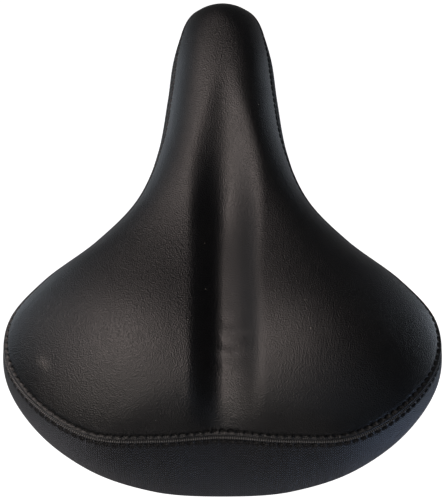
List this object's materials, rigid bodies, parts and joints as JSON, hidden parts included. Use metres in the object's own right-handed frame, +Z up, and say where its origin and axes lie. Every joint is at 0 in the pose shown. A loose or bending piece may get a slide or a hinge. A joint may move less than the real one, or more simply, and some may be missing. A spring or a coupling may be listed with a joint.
{
  "type": "bicycle saddle",
  "caption": "Wide sprung comfort saddle: padded seat with relief channel on a plastic shell, carried on coil springs, a nose hinge and twin steel rails.",
  "frame": {"origin": "middle of the straight rail stretch that a seatpost clamp grips, midway between the two rails, on their centre lines", "axes": "+Y towards the nose, +X to the rider's right, +Z up"},
  "size_m": [0.2188, 0.2854, 0.1171],
  "materials": {
    "cover_leather": "fine-grained synthetic leather, soft satin",
    "skirt_fabric": "ribbed coated weave, matt",
    "foam": "moulded polyurethane foam",
    "gel": "soft clear gel pad",
    "shell_plastic": "moulded polypropylene, fine spark texture",
    "rail_steel": "black powder coat",
    "spring_steel": "gloss black e-coat",
    "pressed_steel": "black e-coated pressing",
    "fastener_steel": "bright zinc plate",
    "bushing_rubber": "matt black rubber",
    "staple_wire": "galvanised staple wire"
  },
  "bodies": {
    "undercarriage": {"rail_frame": "rail_steel", "rear_bridge": "pressed_steel", "lower_spring_cup_left": "pressed_steel", "lower_spring_cup_right": "pressed_steel", "coil_spring_left": "spring_steel", "coil_spring_right": "spring_steel", "lower_spring_bolts": "fastener_steel", "lower_spring_washers": "fastener_steel", "lower_spring_nuts": "fastener_steel"},
    "seat": {"base_shell": "shell_plastic", "foam_pad": "foam", "gel_insert_left": "gel", "gel_insert_right": "gel", "top_cover": "cover_leather", "side_skirt": "skirt_fabric", "cover_staples": "staple_wire", "nose_bracket": "pressed_steel", "nose_bushing": "bushing_rubber", "nose_bracket_bolts": "fastener_steel", "nose_bracket_nuts": "fastener_steel", "upper_spring_cup_left": "pressed_steel", "upper_spring_cup_right": "pressed_steel", "upper_spring_bolts": "fastener_steel", "upper_spring_washers": "fastener_steel", "upper_spring_nuts": "fastener_steel"}
  },
  "joints": [
    {"name": "seat_suspension", "type": "hinge", "parent": "undercarriage", "child": "seat", "pos_m": [0, 0.115, 0.027], "axis": [1, 0, 0], "range_deg": [0, 4.5], "stiffness_Nm_per_rad": 1500, "deforming": ["coil_spring_left", "coil_spring_right"]}
  ]
}
